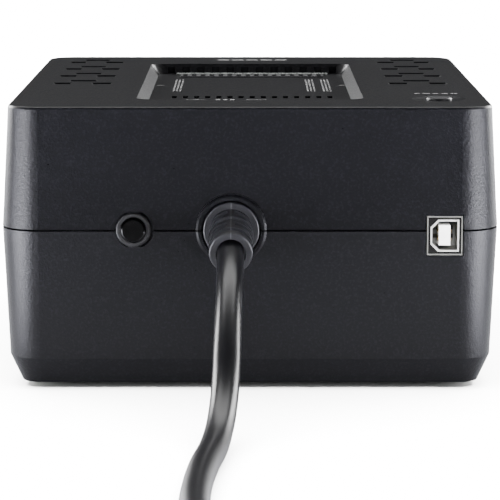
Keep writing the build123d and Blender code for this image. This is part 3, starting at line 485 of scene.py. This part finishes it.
# ---------------------------------------------------------------- transformer core
# Thin silicon-steel sheets stacked on edge, with a little rust and varnish between them.
SHEET_COLOUR = (0.3, 0.29, 0.28)
steel = Finish("core sheets", SHEET_COLOUR, 0.45, metallic=1.0)
SHEET_T = 0.0005
SOLID_SHARE = 0.4
gap = abs(steel.axis("Z") % SHEET_T - SHEET_T / 2) > SHEET_T * SOLID_SHARE
rust = steel.noise(0.006, 4.0).clamped(0.55, 0.7)
bare = steel.blend(rust, SHEET_COLOUR, (0.2, 0.09, 0.04))
steel.read("Base Color", steel.blend(gap, bare, (0.05, 0.04, 0.03)))
steel.read("Roughness", rust * 0.3 + 0.38)
steel.relief(1 - gap, 0.00005)
steel.wear(nodes["transformer_core"])

# ---------------------------------------------------------------- mains sockets
# Moulded socket blocks in satin black show through the cover's sides. Stamped brass bars join their
# live, neutral and earth contacts inside.
satin = hard_moulding("socket plastic", (0.016, 0.016, 0.017), 0.45)
satin.wear(*[nodes[f"socket_{side}_{n}"] for side in ("left", "right") for n in (1, 2, 3)])
brass.wear(*[nodes[f"{kind}_bar_{side}"] for kind in ("live", "neutral", "earth")
             for side in ("left", "right")])

# ---------------------------------------------------------------- circuit breaker
# A threaded bushing of dull black plastic holds the breaker in the rear panel. The reset button
# stands out of it, and is smoother and blacker.
bushing = hard_moulding("bushing plastic", (0.012, 0.012, 0.013), 0.5)
bushing.wear(nodes["breaker_bushing"])
reset = eroded_plastic("reset button plastic", (0.001, 0.001, 0.0011), 0.17, grain=0.0003,
                       depth=0.000006)
reset.wear(nodes["breaker_button"])

# ---------------------------------------------------------------- data socket
# A type B receptacle on its side: a nickel-plated shell, a white tongue, and four gilt contacts that
# end at holes in its back wall, where small dark boxes are painted shade in the holes. The shell's
# front face beyond a narrow rim, its deep bore, its sunk face and its plastic back wall are painted
# darker as shade.
shell_plate = Finish("shell plate", (0.8, 0.79, 0.77), 0.35, metallic=1.0)
shell_low, shell_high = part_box("usb_shell")
# The bore's size, corner and depth, the sunk face's depth, and where the rim starts outside the bore.
BORE_W = 0.0076
BORE_H = 0.0087
BORE_CORNER = 0.0022
BORE_L = 0.0085
FACE_DEPTH = 0.0008
EASE = 0.0001
RIM_FROM = 0.0007
beside = shell_plate.axis("X") - (shell_low[0] + shell_high[0]) / 2
above = abs(shell_plate.axis("Z") - (shell_low[2] + shell_high[2]) / 2)
inward = shell_plate.axis("Y") - shell_low[1]
in_bore = (abs(beside) < BORE_W / 2 + EASE) * (above < BORE_H / 2 + EASE)
in_bore = in_bore * (above - beside < (BORE_W + BORE_H) / 2 - BORE_CORNER + EASE)
sunk_face = (inward > FACE_DEPTH / 2) * (1 - in_bore)
back_wall = (inward > BORE_L - EASE) * in_bore
tarnish = shell_plate.noise(0.001, 3.0)
plate = shell_plate.blend(tarnish, (0.7, 0.69, 0.67), (0.9, 0.89, 0.87))
outside = (above > BORE_H / 2 + RIM_FROM) + (abs(beside) > BORE_W / 2 + RIM_FROM) > 0.5
# The shell's front face, beyond a narrow rim round the bore, is painted darker as shade.
rim_shade = (inward < FACE_DEPTH / 2) * outside
plate = shell_plate.blend(rim_shade, plate, (0.22, 0.22, 0.21))
# Deeper than twice the sunk face's depth, the bore is painted darker as shade.
deep_bore_shade = (inward > 2 * FACE_DEPTH) * in_bore
plate = shell_plate.blend(deep_bore_shade, plate, (0.25, 0.25, 0.24))
# The sunk face is painted near black and not metallic, as shade; the back wall is a dull dark grey, as
# plastic in shade.
plate = shell_plate.blend(sunk_face, plate, (0.002, 0.002, 0.002))
shell_plate.read("Base Color", shell_plate.blend(back_wall, plate, (0.07, 0.07, 0.067)))
shell_plate.read("Metallic", (1 - back_wall) * (1 - sunk_face))
polish = tarnish * 0.2 * (1 - sunk_face) + back_wall * 0.3 - sunk_face * 0.13 + 0.25
shell_plate.read("Roughness", polish)
shell_plate.relief(shell_plate.noise(0.0004), 0.000008)
shell_plate.wear(nodes["usb_shell"])
hard_moulding("tongue plastic", (0.9, 0.9, 0.88), 0.4).wear(nodes["usb_tongue"])
low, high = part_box("usb_tongue")
gilt = Finish("gilt contacts", (0.8, 0.55, 0.2), 0.2, metallic=1.0)
gilt.read("Roughness", gilt.noise(0.0006, 2.0) * 0.2 + 0.12)
# Small dark boxes on the back wall beside each contact are painted shade in the contacts' holes.
hole_shade = hard_moulding("contact recess", (0.01, 0.008, 0.006), 0.6)
CONTACT = (0.0003, 0.0070, 0.0009)
HOLE_SHADE = (0.0011, 0.0002, 0.0012)
CONTACT_PITCH = 0.0025
CONTACT_BACK = 0.0004
back_y = shell_low[1] + BORE_L - HOLE_SHADE[1] / 2
contact_y = low[1] + CONTACT[1] / 2 + CONTACT_BACK
row = (low[2] + high[2]) / 2 - CONTACT_PITCH / 2
for side, x, way in (("left", low[0], -1), ("right", high[0], 1)):
    bars(f"data_contacts_{side}", gilt.material, "case", "brass",
         (x + way * CONTACT[0] / 2, contact_y, row), (0.0, 0.0, CONTACT_PITCH), 2, CONTACT)
    bars(f"contact_recesses_{side}", hole_shade.material, "case", "socket_black",
         (x + way * (CONTACT[0] + HOLE_SHADE[0] / 2), back_y, row), (0.0, 0.0, CONTACT_PITCH), 2, HOLE_SHADE)

# ---------------------------------------------------------------- status bar and grille
# A frosted plastic light bar lies along the far end of the well, behind a low moulded strip with
# slots.
frost = Finish("frosted lens", (0.3, 0.32, 0.31), 0.3, transmission_weight=0.15)
mottle = frost.noise(0.0016, 2.0).clamped(0.35, 0.65)
frost.read("Base Color", frost.blend(mottle, (0.1, 0.11, 0.105), (0.5, 0.53, 0.51)))
frost.read("Roughness", frost.noise(0.0008, 2.0) * 0.3 + 0.15)
frost.relief(frost.noise(0.0006, 2.0), 0.00002)
frost.wear(nodes["status_bar"])
strip = eroded_plastic("grille plastic", (0.02, 0.02, 0.022), 0.5, grain=0.0008, depth=0.0001)
strip.wear(nodes["well_grille"])

# ---------------------------------------------------------------- power button
# A round cap moulded in dark grey plastic, with a finer and shallower grain than the case's. It
# stands a little out of its dish.
cap_skin = eroded_plastic("button plastic", (0.011, 0.011, 0.013), 0.42, grain=0.0003,
                          depth=0.00002)
cap_skin.wear(nodes["power_button"])

# ---------------------------------------------------------------- printed marks
# Thin pad-printed ink in uneven grey-white. Its plain dashes and ticks lie in columns in the well
# and in short rows on the top face.
ink = Finish("white ink", (0.4, 0.4, 0.4), 0.6)
cover = ink.noise(0.0008, 2.0).clamped(0.35, 0.6)
ink.read("Base Color", ink.blend(cover, (0.12, 0.12, 0.12), (0.42, 0.42, 0.42)))
ink.read("Roughness", ink.noise(0.001, 2.0) * 0.3 + 0.45)
INK_T = 0.00006
in_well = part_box("status_bar")[0][2] + INK_T / 2
on_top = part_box("top_cover")[1][2] + INK_T / 2


def printed(name, at, step, count, dash, **more):
    """A row of dashes of ink, from its first one's middle; a dash has a width and a length."""
    bars(name, ink.material, "case", "white_plastic", at, step, count, (*dash, INK_T), **more)


COLUMN_Y = -0.0050
COLUMN_STEP = (0.0, 0.0019, 0.0)
LINE_STEP = (0.0011, 0.0, 0.0)
for label, x in (("left", -0.0253), ("right", 0.0192), ("edge", 0.0245)):
    printed(f"well_print_{label}", (x, COLUMN_Y, in_well), COLUMN_STEP, 22, (0.00055, 0.0012),
            vary=0.5, seed=7, rows=3, row_step=LINE_STEP)
TICK_Y = 0.0150
for label, x in (("left", -0.0302), ("right", 0.0314)):
    printed(f"well_tick_{label}", (x, TICK_Y, in_well), (0.0, 0.001, 0.0), 1, (0.0023, 0.0007))
printed("maker_bars", (-0.0097, 0.0740, on_top), (0.0052, 0.0, 0.0), 5, (0.0041, 0.0022))
printed("power_print", (0.0523, -0.0484, on_top), (0.0029, 0.0, 0.0), 5, (0.0022, 0.0011),
        vary=0.3, seed=5)
BRACKET_Y = -0.0675
printed("bracket_line", (-0.0165, BRACKET_Y, on_top), (0.0185, 0.0, 0.0), 2, (0.0060, 0.0003))
printed("bracket_marks", (-0.0098, BRACKET_Y, on_top), (0.0022, 0.0, 0.0), 3, (0.0015, 0.0016),
        vary=0.2, seed=3)

# ---------------------------------------------------------------- floor and light
# White paper lies under the object. It has two lamps of its own, so the case can stay dark on it.
# The object mirrors darker paper than the camera sees, apart from a bright strip at each side.
floor = bpy.data.objects.new("floor", bpy.data.meshes.new("floor"))
bpy.context.scene.collection.objects.link(floor)
FLOOR_SIZE = 6.0
mesh = bmesh.new()
bmesh.ops.create_grid(mesh, x_segments=1, y_segments=1, size=FLOOR_SIZE)
mesh.to_mesh(floor.data)
mesh.free()
PAPER_WHITE = (0.9, 0.9, 0.9)
paper = Finish("paper floor", PAPER_WHITE, 0.9)
# How bright the paper is to what mirrors it: ahead of the panel, near it, to the sides and far behind.
AHEAD = 0.006
NEAR = 0.06
ASIDE = 1.4
BEHIND = 0.2
TINT = {"X": 0.96, "Y": 0.97, "Z": 1.07}
# The side strips open away from the panel by this much for each metre ahead of it.
OPENING = 0.5
# The stretch over which each brightness comes in.
STRIP_ACROSS = (0.07, 0.17)
STRIP_AHEAD = (-0.05, 0.1)
FAR_BEHIND = (0.3, 0.9)
NEAR_PANEL = (rear_y - 0.26, rear_y - 0.06)
seen_directly = paper.add("ShaderNodeLightPath", "Is Camera Ray")
across = abs(paper.axis("X"))
ahead = rear_y - paper.axis("Y")
off_middle = (across - ahead * OPENING).clamped(*STRIP_ACROSS) * ahead.clamped(*STRIP_AHEAD)
far_behind = paper.axis("Y").clamped(*FAR_BEHIND)
mirrored = off_middle * (ASIDE - AHEAD) * (1 - far_behind) + far_behind * (BEHIND - AHEAD) + AHEAD
near = paper.axis("Y").clamped(*NEAR_PANEL) * (1 - off_middle) * (1 - far_behind)
mirrored = mirrored + near * (NEAR - AHEAD)
grey = paper.add("ShaderNodeCombineXYZ", 0, None, {key: mirrored * share for key, share in TINT.items()})
paper.read("Base Color", paper.blend(seen_directly, grey, PAPER_WHITE))
paper.wear(floor)


def softbox(name, at, aim, size, power, only=()):
    """A rectangular lamp that faces a point; it may light some objects alone."""
    lamp = bpy.data.objects.new(name, bpy.data.lights.new(name, "AREA"))
    bpy.context.scene.collection.objects.link(lamp)
    lamp.data.shape = "RECTANGLE"
    lamp.data.size, lamp.data.size_y = size
    lamp.data.energy = power
    lamp.location = at
    lamp.rotation_euler = (Vector(aim) - Vector(at)).to_track_quat("-Z", "Y").to_euler()
    if only:
        lamp.light_linking.receiver_collection = bpy.data.collections.new(name + " receiver")
        for piece in only:
            lamp.light_linking.receiver_collection.objects.link(piece)


# Soft lamps stand at both sides, ahead of the object and behind it, and one hangs overhead. The paper,
# and the data socket's shell and tongue, have their own.
for side, way in (("left", -1), ("right", 1)):
    softbox(f"{side} softbox", (way * 0.95, -0.85, 0.3), (0, -0.1, 0.05), size=(0.6, 0.5), power=7.0)
for side, way in (("left", -1), ("right", 1)):
    softbox(f"{side} rear softbox", (way * 0.85, 0.75, 0.36), (0, 0, 0.08), size=(0.8, 0.6), power=38.0)
softbox("overhead softbox", (0.0, 0.7, 1.5), (0, 0.0, 0.0), size=(2.2, 1.2), power=34.0)
softbox("paper lamp", (0.0, -0.3, 1.6), (0, -0.3, 0.0), size=(3.0, 2.6), power=900.0, only=[floor])
softbox("detail lamp", (0.25, -1.0, 0.55), (0.05, 0.0, 0.05), size=(0.7, 0.5), power=60.0,
        only=[nodes["usb_tongue"], nodes["usb_shell"]])
softbox("far paper lamp", (0.0, 2.6, 1.6), (0, 2.6, 0.0), size=(3.0, 2.0), power=900.0, only=[floor])

world = bpy.data.worlds.new("studio")
bpy.context.scene.world = world
world.use_nodes = True
tree = world.node_tree
backdrop = tree.nodes["Background"]
# How bright the studio is: to the camera, and to the object from behind it, ahead and the sides.
SEEN_STRENGTH = 20.0
BEHIND_OBJECT = 0.25
BEHIND_CAMERA = 0.008
TO_THE_SIDES = 0.3
# The part of the sky's Y and X over which they change.
FRONT_TO_BACK = (-0.3, 0.9)
MIDDLE_TO_SIDES = (0.42, 0.75)


def world_node(kind, **values):
    """A node of the studio's light, with its inputs; a linked input takes another node's output."""
    node = tree.nodes.new(kind)
    for key, value in values.items():
        socket = node.inputs[key.replace("_", " ")] if key[0] != "n" else node.inputs[int(key[1:])]
        if hasattr(value, "is_output"):
            tree.links.new(value, socket)
        else:
            socket.default_value = value
    return node


def smooth(flow, low, high, start, end):
    """From start at low to end at high, smooth between."""
    node = world_node("ShaderNodeMapRange", Value=flow, From_Min=low, From_Max=high,
                      To_Min=start, To_Max=end)
    node.interpolation_type = "SMOOTHSTEP"
    return node.outputs[0]


direction = tree.nodes.new("ShaderNodeTexCoord").outputs["Generated"]
split = world_node("ShaderNodeSeparateXYZ", n0=direction)
sideways = world_node("ShaderNodeMath", n0=split.outputs["X"])
sideways.operation = "ABSOLUTE"
front_to_back = smooth(split.outputs["Y"], *FRONT_TO_BACK, BEHIND_CAMERA, BEHIND_OBJECT)
sides = smooth(sideways.outputs[0], *MIDDLE_TO_SIDES, 0.0, TO_THE_SIDES)
total = world_node("ShaderNodeMath", n0=front_to_back, n1=sides)
ray = tree.nodes.new("ShaderNodeLightPath").outputs["Is Camera Ray"]
seen = world_node("ShaderNodeMix", n0=ray, n2=total.outputs[0], n3=SEEN_STRENGTH)
tree.links.new(seen.outputs[0], backdrop.inputs["Strength"])
